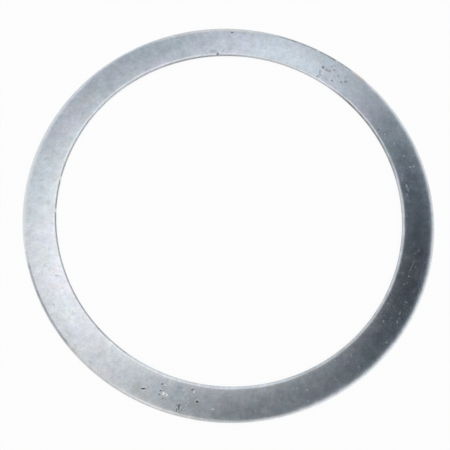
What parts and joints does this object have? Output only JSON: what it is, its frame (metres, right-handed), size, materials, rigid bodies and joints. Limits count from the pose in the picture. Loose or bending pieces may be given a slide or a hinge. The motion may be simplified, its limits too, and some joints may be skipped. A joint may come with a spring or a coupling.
{
  "type": "shim ring",
  "caption": "Thin flat steel ring with a large round bore, blanked with softly rolled upper edges, used as a spacer on a shaft or in a housing.",
  "frame": {"origin": "centre of the lower face, on the ring's axis", "axes": "+Z is the ring's axis and points from the lower face, where the burr was, to the upper face with the rolled edges; X and Y lie in the lower face, and nothing on the ring tells one direction from another"},
  "size_m": [0.19, 0.19, 0.0015],
  "materials": {
    "ring_steel": "bright rolled steel, lightly oiled, faintly clouded, with small handling marks"
  },
  "bodies": {
    "root": {"shim_ring": "ring_steel"}
  },
  "joints": []
}
